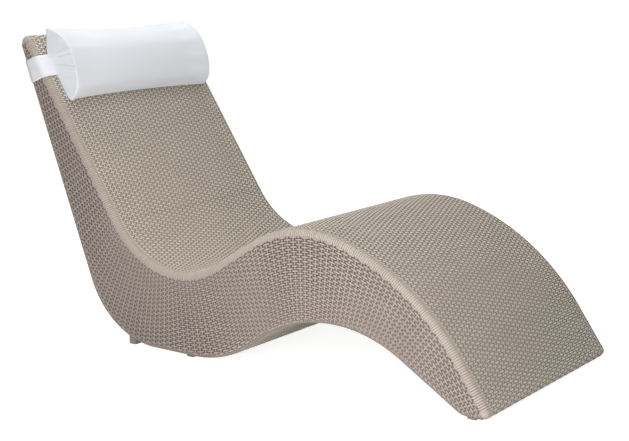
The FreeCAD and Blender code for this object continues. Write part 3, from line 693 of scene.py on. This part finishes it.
def row_runs(sign):
    """Rows along the side, cut where they reach the lower edge."""
    every = np.arange(len(stake_length))
    for row in range(FULL_ROWS + 1):
        fine = np.linspace(0, every[-1], ROW_STEPS * len(every))
        spare = np.interp(fine, every, stake_length - LAST_ROW - FIRST_ROW - row * row_pitch)
        inside = np.concatenate(((False,), spare > -ROW_SLACK, (False,)))
        edges = np.flatnonzero(np.diff(inside.astype(int)))
        for start, stop in zip(edges[::2], edges[1::2] - 1):
            index, _ = steps_over(round(fine[start]), round(fine[stop]) + 1, WEAVER_SHARES)
            kept = (index > fine[start] + ROW_END_GAP) & (index < fine[stop] - ROW_END_GAP)
            if kept.sum() < ROW_POINTS:
                continue
            index = np.concatenate(((fine[start],), index[kept], (fine[stop],)))
            stake = np.round(index)
            deep = np.interp(index, every, FIRST_ROW + row * row_pitch)
            deep = deep + random.normal(0, ROW_UNEVEN)
            height, sunk = weaver_form(index - stake, over(stake, row))
            line, up = side_points(index, deep, height - SINK, sign)
            yield line, up, WEAVER_WIDTH, WEAVER_THICK, sunk


def stake_runs(sign):
    """Stakes down the side, whose ends the back's weavers hold."""
    for stake, length in enumerate(stake_length):
        pitch = row_pitch[stake]
        rows = max(math.floor((length - LAST_ROW - FIRST_ROW) / pitch + TINY) + 1, 0)
        steps, row = steps_over(-1, rows, STAKE_SHARES)
        depth = FIRST_ROW + steps * pitch
        top = np.where(row < 0, 1.0, over(stake, row))
        start = max(STAKE_START, high_inside[stake])
        end = length - max(STAKE_END, low_inside[stake])
        if length < SHORT_STAKE or end < start + SHORT_RUN:
            continue
        kept = (depth < end - POINT_GAP) & (depth > start + POINT_GAP)
        depth = np.concatenate(((start,), depth[kept], (end,)))
        top = np.concatenate(((1.0,), top[kept], (1.0,)))
        line, up = side_points(np.full(depth.shape, float(stake)), depth,
                               -STAKE_RISE * top - SINK, sign)
        yield line, up, STAKE_WIDTH, STAKE_THICK, STAKE_SHADE * (1 + top)


for side, sign in (("right", -1), ("left", 1)):
    for part, runs in (("rows", row_runs(sign)), ("stakes", stake_runs(sign))):
        weave_piece("side_%s_%s" % (part, side), runs, SIDE_STRAND_SHADED, "side_weave_" + side,
                    "side_weave")

# A dark sheet inside the weave, painted shade, which closes the gaps between the strands.

SKIN_STEPS = 400  # along the seat, and along the back
SIDE_SKIN_STEPS = 9  # down the side
SEAT_SKIN_HALF = BODY_HALF - EDGE_RADIUS - 1 * MM
BACK_SKIN_HALF = BODY_HALF - 3 * MM
SIDE_SKIN_START = 12 * MM  # below the seat
SIDE_SKIN_END = 3 * MM  # above the lower edge


def skin_object(name, grid, node):
    """A sheet from a grid of points (rows, points, 3)."""
    index = np.arange(grid[..., 0].size).reshape(grid.shape[:2])
    piece = mesh_object(name, grid.reshape(-1, 3), [grid_faces(index)], INNER_SHADE_SKIN)
    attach(piece, "lounger")
    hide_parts(node)


for part, first, last, half in (("seat", seat_first, seat_last, SEAT_SKIN_HALF),
                                ("back", seat_last, under_last, BACK_SKIN_HALF)):
    along = np.linspace(first, last, SKIN_STEPS) * WEAVER_PITCH
    grid, _ = on_girth(np.repeat(along[:, None], 2, axis=1), np.full((SKIN_STEPS, 2), -SKIN_SINK),
                       np.array((-half, half)))
    skin_object(part + "_inner_face", grid, part + "_weave")
standing = np.flatnonzero(stake_length >= SHORT_STAKE)
for side, sign in (("right", -1), ("left", 1)):
    share = np.linspace(0, 1, SIDE_SKIN_STEPS)
    covered = stake_length[standing, None] - SIDE_SKIN_START - SIDE_SKIN_END
    stakes = np.repeat(standing.astype(float)[:, None], SIDE_SKIN_STEPS, axis=1)
    grid, _ = side_points(stakes, SIDE_SKIN_START + covered * share, -SKIN_SINK, sign)
    skin_object("side_inner_face_" + side, grid[::-sign], "side_weave_" + side)

# ---- head pillow

FACE_ANGLE = math.radians(56.2)
FACE_DOWN = np.array((math.cos(FACE_ANGLE), 0, -math.sin(FACE_ANGLE)))
FACE_OUT = np.array((math.sin(FACE_ANGLE), 0, math.cos(FACE_ANGLE)))
PILLOW_GAP = 1.2 * MM
PILLOW_START = np.array((GIRTH_START[0], 0, GIRTH_START[1])) * MM + FACE_OUT * PILLOW_GAP
PILLOW_DEPTH = 228 * MM
PILLOW_HEIGHT = 97 * MM
PILLOW_HALF = 308 * MM
PILLOW_RISE = 6 * MM  # up the backrest, of the ends
PILLOW_SAG = 6 * MM  # of the upper edge's middle, further down
PILLOW_DIP = 4 * MM  # of the crown at the far end
CLOTH_STEP = 5.5 * MM  # between the mesh's points
SHRINK = 2.5 * MM  # of the cover before it is filled
SHRINK_OFF = 0.4  # of that, down to the backrest
FULL_ENDS = 12  # the higher, the nearer to its ends the cover is shrunk
ON_BACKREST = 0.5 * MM  # points nearer to the backrest than that don't move
ROUND_SHARE = 0.93  # the way round the section, as a share of the way round its box
CURVE_STEPS = 24  # between two corner points of the section

# Corner points of the cover's section, as shares of its depth and height.
SECTION = ((0.31, 0.0), (0.50, 0.0), (0.72, 0.0), (0.91, 0.0), (0.972, 0.035), (1.0, 0.14),
           (0.985, 0.36), (0.93, 0.57), (0.83, 0.745), (0.68, 0.90), (0.50, 0.985), (0.36, 0.98),
           (0.21, 0.88), (0.09, 0.70), (0.012, 0.53), (0.0, 0.475), (0.022, 0.41), (0.15, 0.20))
PANEL_RINGS = 16
PANEL_SHIFT = (-13 * MM, 7 * MM)  # of the rings' middle, clear of the creases
EAR = 7 * MM  # how far the near lower corner stands out
EAR_REACH = 30 * MM
EAR_HEIGHT = 60 * MM  # off the backrest, to where it fades out
EAR_START = 0.75  # of the pillow's depth

# Creases of an end panel, which run from the band to the seam: distance down the backrest and
# off it where each starts and ends, and its depth, in millimetres.
CREASES = ((100, 16, 149, 86, 2.8), (111, 12, 152, 76, 1.8), (85, 34, 108, 90, 1.5),
           (73, 43, 87, 90, 1.1), (124, 19, 166, 69, 1.3), (148, 14, 186, 60, 1.2),
           (186, 5, 204, 52, 1.4), (207, 3, 217, 40, 1.2), (50, 58, 74, 95, 1.0))
CREASE_WIDTH = 3.2 * MM
CREASE_FADE_IN = (3, 0.6)  # how steep it is, and its level where the crease starts
CREASE_FADE_OUT = (4, 1.12)  # how steep it is, and where it ends, as a share of the crease
LIPS = ((1, 0.75), (-1, 0.4))  # the raised sides of a crease, and how high they are
LIP_PLACE = 2.1 * CREASE_WIDTH  # from the crease
LIP_WIDTH = 1.5 * CREASE_WIDTH
PANEL_FADE = 10 * MM  # from the end inwards, over which the creases end

# The filling: what the cloth simulation is set to, how far a point may move, and how what it
# moves is then softened.
FILLING = dict(quality=5, mass=0.3, tension_stiffness=12, compression_stiffness=12,
               bending_stiffness=0.4, use_pressure=True, uniform_pressure_force=4)
FILLING_FRAMES = 18
CAP = 9 * MM
SOFTENED = 10  # times
SOFT_OWN, SOFT_AROUND, SOFT_ALONG = 0.3, 0.2, 0.15  # a point's own share, and its neighbours'


def closed_curve(points, count):
    """A smooth closed curve through points, at even steps."""
    pts = np.array(points)
    before, after, beyond = np.roll(pts, 1, 0), np.roll(pts, -1, 0), np.roll(pts, -2, 0)
    t = np.linspace(0, 1, CURVE_STEPS, endpoint=False)[:, None, None]
    curve = 0.5 * (2 * pts + (after - before) * t
                   + (2 * before - 5 * pts + 4 * after - beyond) * t**2
                   + (3 * pts - before - 3 * after + beyond) * t**3)
    line = curve.transpose(1, 0, 2).reshape(-1, 2)
    ends = np.concatenate((line, line[:1]))
    reach = np.concatenate(((0,), np.cumsum(np.linalg.norm(np.diff(ends, axis=0), axis=1))))
    even = np.linspace(0, reach[-1], count, endpoint=False)
    return np.stack([np.interp(even, reach, ends[:, i]) for i in (0, 1)], axis=1)


def pillow_place(down, out, y):
    """A point on the pillow from its distance down the backrest, off it, and across."""
    return PILLOW_START + down[..., None] * FACE_DOWN + out[..., None] * FACE_OUT \
        + y[..., None] * np.array((0, 1, 0))


def pillow_wrap(around):
    """The rings of the cover between its end seams, from the near one to the far one."""
    section = closed_curve([(a * PILLOW_DEPTH, b * PILLOW_HEIGHT) for a, b in SECTION], around)
    section[:, 1] = np.maximum(section[:, 1], 0)
    middle = section.mean(axis=0)
    front = np.clip((section[:, 0] / PILLOW_DEPTH - EAR_START) / (1 - EAR_START), 0, 1)
    front = front * np.clip(1 - section[:, 1] / EAR_HEIGHT, 0, 1)
    for share in np.linspace(-1, 1, round(2 * PILLOW_HALF / CLOTH_STEP) + 1):
        slack = SHRINK * (1 - share**FULL_ENDS)
        flat = middle + (section - middle) * (1 - slack / PILLOW_DEPTH)
        flat[:, 1] = np.maximum(flat[:, 1] - slack * SHRINK_OFF, 0)
        sag = PILLOW_SAG * (1 - abs(share)) * (1 - flat[:, 0] / PILLOW_DEPTH)
        ear = EAR * math.exp(-(1 + share) * PILLOW_HALF / EAR_REACH)
        down = flat[:, 0] + sag - PILLOW_RISE + front * ear
        lift = flat[:, 1] - PILLOW_DIP * (flat[:, 1] / PILLOW_HEIGHT) * (share > 0) * share
        held = np.where((lift < ON_BACKREST) | (abs(share) == 1), 1.0, 0.0)
        ring = pillow_place(down, lift, np.full(down.shape, share * PILLOW_HALF))
        yield ring, np.full(around, (1 - abs(share)) * PILLOW_HALF), held


def pillow_mesh():
    """The cover before it is filled: points, faces, distances from the end seams, how strongly
    each point is held, points in a ring, and where its end panels start."""
    around = round((2 * PILLOW_DEPTH + 2 * PILLOW_HEIGHT) * ROUND_SHARE / CLOTH_STEP)
    points, seam, held = (list(kept) for kept in zip(*pillow_wrap(around)))
    ring = np.arange(around)
    total = len(points) * around
    panel_start, last_ring = total, total - around
    quads, tips = [], []

    def join(first, second, flip=1):
        quads.append(np.stack((first, np.roll(first, -1), np.roll(second, -1), second),
                              axis=1)[:, ::flip])

    for start in range(0, last_ring, around):
        join(ring + start, ring + start + around)
    for start, flip in ((0, -1), (last_ring, 1)):
        edge = points[start // around]
        centre = edge.mean(axis=0) + PANEL_SHIFT[0] * FACE_DOWN + PANEL_SHIFT[1] * FACE_OUT
        last = start + ring
        for share in 1 - np.arange(1, PANEL_RINGS) / PANEL_RINGS:
            points.append(centre + (edge - centre) * share)
            seam.append((1 - share) * np.linalg.norm(edge - centre, axis=1))
            held.append(np.zeros(around))
            fresh = total + ring
            join(last, fresh, flip)
            last = fresh
            total += around
        points.append(centre[None, :])
        seam.append((PILLOW_HEIGHT / 2,))
        held.append((0.0,))
        tips.append(np.stack((last, np.roll(last, -1), np.full(around, total)), axis=1)[:, ::flip])
        total += 1
    return (np.concatenate(points), [np.concatenate(quads), np.concatenate(tips)],
            np.concatenate(seam), np.concatenate(held), around, panel_start)


def crease_height(down, out, creases):
    """How far the creases of an end panel push it out, or in where it is negative."""
    height = np.zeros(down.shape)
    for down_1, out_1, down_2, out_2, depth in creases:
        way = np.array((down_2 - down_1, out_2 - out_1)) * MM
        length = np.linalg.norm(way)
        way = way / length
        share = ((down - down_1 * MM) * way[0] + (out - out_1 * MM) * way[1]) / length
        off = (down - down_1 * MM) * way[1] - (out - out_1 * MM) * way[0]
        fade = np.clip(share * CREASE_FADE_IN[0] + CREASE_FADE_IN[1], 0, 1) \
            * np.clip((CREASE_FADE_OUT[1] - share) * CREASE_FADE_OUT[0], 0, 1)
        fold = -np.exp(-((off / CREASE_WIDTH) ** 2))
        for side, part in LIPS:
            fold = fold + part * np.exp(-(((off - side * LIP_PLACE) / LIP_WIDTH) ** 2))
        height += depth * MM * fade * fold
    return height


def coordinates(data):
    """The places of a mesh's points."""
    found = np.zeros(len(data.vertices) * 3, np.float32)
    data.vertices.foreach_get("co", found)
    return found.reshape(-1, 3).astype(float)


def set_coordinates(data, points):
    """Moves a mesh's points to these places."""
    data.vertices.foreach_set("co", points.astype(np.float32).ravel())
    data.update()


def evaluated_mesh(piece):
    """A copy of the piece's mesh as its modifiers shape it."""
    return bpy.data.meshes.new_from_object(
        piece.evaluated_get(bpy.context.evaluated_depsgraph_get()))


def fill_with_air(piece, held, around, panel_start):
    """Cloth simulation: the cover swells, its seams held, and no point moves past the cap.
    What it moves round the cover is then softened."""
    rest = coordinates(piece.data)
    group = piece.vertex_groups.new(name="seams")
    group.add(np.flatnonzero(held).tolist(), 1.0, "REPLACE")
    cloth = piece.modifiers.new("filling", "CLOTH")
    for key, value in FILLING.items():
        setattr(cloth.settings, key, value)
    cloth.settings.vertex_group_mass = group.name
    cloth.settings.effector_weights.gravity = 0
    cloth.point_cache.frame_start = 1
    cloth.point_cache.frame_end = FILLING_FRAMES
    for number in range(1, FILLING_FRAMES + 1):
        bpy.context.scene.frame_set(number)
    filled = evaluated_mesh(piece)
    away = coordinates(filled) - rest
    bpy.data.meshes.remove(filled)
    piece.modifiers.remove(cloth)
    bpy.context.scene.frame_set(1)
    reach = np.linalg.norm(away, axis=1, keepdims=True)
    away *= np.minimum(1, CAP / np.maximum(reach, TINY))
    rings = away[:panel_start].reshape(-1, around, 3)
    for _ in range(SOFTENED):
        inner = rings[1:-1]
        beside = np.roll(inner, 1, axis=1) + np.roll(inner, -1, axis=1)
        rings[1:-1] = inner * SOFT_OWN + beside * SOFT_AROUND \
            + (rings[:-2] + rings[2:]) * SOFT_ALONG
    return rest + away


def off_backrest(points):
    """How far points are off the backrest, square to it."""
    return (points - PILLOW_START) @ FACE_OUT


cover_points, cover_faces, cover_seam, *cover_grid = pillow_mesh()
cover = mesh_object("head_pillow", cover_points, cover_faces, COVER_CLOTH, seam=cover_seam)
cover_points = fill_with_air(cover, *cover_grid)
inside = np.minimum(off_backrest(cover_points), 0)
set_coordinates(cover.data, cover_points - inside[:, None] * FACE_OUT)
rounder = cover.modifiers.new("rounder", "SUBSURF")
rounder.levels = rounder.render_levels = 1
rounded = evaluated_mesh(cover)
cover.modifiers.remove(rounder)
cover.data = rounded
cover_points = coordinates(rounded)
down, off = (cover_points - PILLOW_START) @ FACE_DOWN, off_backrest(cover_points)
y = cover_points[:, 1].copy()
on_panel = np.clip((np.abs(y) - PILLOW_HALF) / PANEL_FADE + 1, 0, 1) ** 2
for side, creases in ((-1, CREASES), (1, CREASES[::-2])):
    cover_points[:, 1] += side * crease_height(down, off, creases) * on_panel * (y * side > 0)
set_coordinates(rounded, cover_points)
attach(cover, "headrest")
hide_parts("headrest_cover", "headrest_filling")

# ---- band round the backrest

REAR_ANGLE = math.radians(68.9)
REAR_DOWN = np.array((math.cos(REAR_ANGLE), 0, -math.sin(REAR_ANGLE)))
REAR_IN = np.array((math.sin(REAR_ANGLE), 0, math.cos(REAR_ANGLE)))
REAR_START = np.array((-817.2, 0, 874.7)) * MM
BAND_DROP = 54 * MM  # down the back face
STRAP_WIDTH = 70 * MM
STRAP_THICK = 1.5 * MM
STRAP_GAP = 0.5 * MM
STRAP_ROWS = 15  # of points across the band
STRAP_HEM = 0.3  # of its thickness: how much thinner it is at each face of its long edges
SIDE_REACH = 33.3 * MM  # of the elastic, forward up the sides
TAB_MARGIN = 4.8 * MM  # from the fabric ends to the back face
TAB_TUCK = 14 * MM  # of the fabric ends, in under the pillow
RUN_POINTS = 6  # along a straight run
TAB_TURN_POINTS = 9
ELASTIC_TURN_POINTS = 5
BACK_POINTS = (260 * MM, 170 * MM, 85 * MM)  # across the back, from the middle


def front_depth(down):
    """How far forward of the back face the front face is, at a distance down the back face."""
    start = np.array((GIRTH_START[0], 0, GIRTH_START[1])) * MM - REAR_START
    slope = (FACE_DOWN @ REAR_IN) / (FACE_DOWN @ REAR_DOWN)
    return start @ REAR_IN + (down - start @ REAR_DOWN) * slope


def ribbon(name, paths):
    """A flat band from its rows of points, (rows, points, 3), with thinner long edges."""
    rows, count, _ = paths.shape
    out = unit(np.cross(np.gradient(paths, axis=1), np.gradient(paths, axis=0)))
    across = np.linspace(-1, 1, rows)
    thinner = (np.abs(across) == 1)[:, None, None] * STRAP_HEM * STRAP_THICK
    points = np.concatenate((paths - out * thinner, paths - out * (STRAP_THICK - thinner)))
    upper = np.arange(rows * count).reshape(rows, count)
    lower = upper + rows * count
    faces = [grid_faces(upper), grid_faces(lower)[:, [0, 3, 2, 1]]]
    for a, b, flip in ((upper[0], lower[0], 1), (upper[-1], lower[-1], -1),
                       (upper[:, 0], lower[:, 0], -1), (upper[:, -1], lower[:, -1], 1)):
        faces.append(np.stack((a[:-1], a[1:], b[1:], b[:-1]), axis=-1)[:, ::flip])
    steps = np.linalg.norm(np.diff(paths, axis=1), axis=2)
    along = np.concatenate((np.zeros((rows, 1)), np.cumsum(steps, axis=1)), axis=1)
    across, along = np.repeat(across, count), along.ravel()
    return mesh_object(name, points.reshape(-1, 3), faces, WEBBING, across=np.tile(across, 2),
                       along=np.tile(along, 2))


def strap_paths(outline):
    """The band's rows of points, from a function that gives a row's places across and forward
    of the back face at a distance down it."""
    rows = []
    for down in np.linspace(BAND_DROP, BAND_DROP + STRAP_WIDTH, STRAP_ROWS):
        y, forward = outline(down)
        rows.append(REAR_START + down * REAR_DOWN + forward[:, None] * REAR_IN
                    + y[:, None] * np.array((0, 1, 0)))
    return np.array(rows)


def tab_outline(down):
    """A fabric end: from the pillow over the upper edge and down the side."""
    out = 2 * (STRAP_GAP + STRAP_THICK)
    turn = np.linspace(0, math.pi / 2, TAB_TURN_POINTS)
    radius = EDGE_RADIUS + out
    y = BODY_HALF - EDGE_RADIUS + radius * np.sin(turn)
    forward = front_depth(down) - EDGE_RADIUS + radius * np.cos(turn)
    start = np.linspace(PILLOW_HALF - TAB_TUCK, BODY_HALF - EDGE_RADIUS, RUN_POINTS)[:-1]
    side = np.linspace(forward[-1], TAB_MARGIN, RUN_POINTS)[1:]
    return (np.concatenate((start, y, np.full(side.shape, y[-1]))),
            np.concatenate((np.full(start.shape, forward[0]), forward, side)))


def elastic_outline(down):
    """The elastic: round both back edges and across the back, the same at every height."""
    out = STRAP_GAP + STRAP_THICK
    turn = np.linspace(0, math.pi / 2, ELASTIC_TURN_POINTS)
    side = np.linspace(SIDE_REACH, 0, RUN_POINTS)[:-1]
    y = np.concatenate((np.full(side.shape, BODY_HALF + out), BODY_HALF + out * np.cos(turn),
                        BACK_POINTS))
    forward = np.concatenate((side, -out * np.sin(turn), np.full(len(BACK_POINTS), -out)))
    return np.concatenate((y, (0.0,), -y[::-1])), np.concatenate((forward, (-out,), forward[::-1]))


for side, sign in (("right", -1), ("left", 1)):
    tab = ribbon("band_end_" + side, strap_paths(tab_outline)[::-sign] * (1, sign, 1))
    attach(tab, "headrest")
    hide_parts("strap_tab_" + side)
elastic = ribbon("band_elastic", strap_paths(elastic_outline)[::-1])
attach(elastic, "strap_back")
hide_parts("strap_elastic")

# ---- finishes of the frame

RAIL_METAL = plain_finish("rail_metal", shade(142, 136, 128), shade(118, 112, 105), 0.42, 700.0,
                          0.6)
GLIDE_PLASTIC = plain_finish("glide_plastic", shade(146, 141, 133), shade(122, 118, 111), 0.5,
                             1100.0)
ZIP_PLASTIC = plain_finish("zip_plastic", shade(232, 233, 235), shade(205, 208, 212), 0.4, 1500.0)

FRAME_FINISHES = (("glide_", GLIDE_PLASTIC), ("head_tube_caps", GLIDE_PLASTIC),
                  ("toe_tube_caps", GLIDE_PLASTIC), ("headrest_zip", ZIP_PLASTIC))
for name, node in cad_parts.items():
    finish = next((made for start, made in FRAME_FINISHES if name.startswith(start)), RAIL_METAL)
    node.data.materials.clear()
    node.data.materials.append(finish)

# ---- floor and lights

FLOOR_HALF = 30
FLOOR_PAPER = 0.5  # how much light the floor gives back to the camera
FLOOR_GLOW = 0.88  # and how much is added to it
SKY_STRENGTH = 0.28

# The soft square lamps: where each stands, what it points at, its size and its power.
LAMPS = (("lamp_over", (0.2, -0.3, 4.5), (0.1, 0, 0.3), 1.6, 39),
         ("lamp_crest", (0.9, -0.6, 2.2), (0.3, 0, 0.3), 1.0, 5),
         ("lamp_rear", (-1.5, 0.2, 3.0), (0, 0, 0.3), 1.4, 38),
         ("lamp_front", (1.0, -2.1, 0.6), (0.1, -0.3, 0.3), 1.1, 33))


def floor_finish():
    """A plain surface. To the camera it is white, with a light shadow."""
    make = Finish("floor_pale")
    make.wear((0.9, 0.9, 0.9, 1), 0.9)
    paper = make.add("ShaderNodeBsdfDiffuse", {}, Color=(*(FLOOR_PAPER,) * 3, 1))
    glow = make.add("ShaderNodeEmission", {}, Color=(*(FLOOR_GLOW,) * 3, 1))
    seen = make.add("ShaderNodeAddShader", {}, paper, glow)
    return make.seen_as(Wire(make, make.shader.outputs[0]), seen, "Material Output")


def sky_light():
    """Even light from all round, which the camera sees as plain white."""
    make = Finish("studio", bpy.data.worlds)
    make.tree.nodes.remove(make.tree.nodes["Background"])
    light, seen = (make.add("ShaderNodeBackground", {}, Color=(1, 1, 1, 1), Strength=strength)
                   for strength in (SKY_STRENGTH, 1.0))
    return make.seen_as(light, seen, "World Output")


floor_data = bpy.data.meshes.new("floor")
floor_data.from_pydata([(x * FLOOR_HALF, y * FLOOR_HALF, 0)
                        for x, y in ((-1, -1), (1, -1), (1, 1), (-1, 1))], [], [(0, 1, 2, 3)])
floor_data.materials.append(floor_finish())
floor = bpy.data.objects.new("floor", floor_data)
bpy.context.scene.collection.objects.link(floor)

bpy.context.scene.world = sky_light()
for name, place, aim, size, power in LAMPS:
    light = bpy.data.lights.new(name, "AREA")
    light.size = size
    light.energy = power
    lamp = bpy.data.objects.new(name, light)
    bpy.context.scene.collection.objects.link(lamp)
    lamp.location = place
    lamp.rotation_mode = "QUATERNION"
    lamp.rotation_quaternion = (Vector(aim) - Vector(place)).to_track_quat("-Z", "Y")

bpy.context.scene.view_settings.view_transform = "Standard"
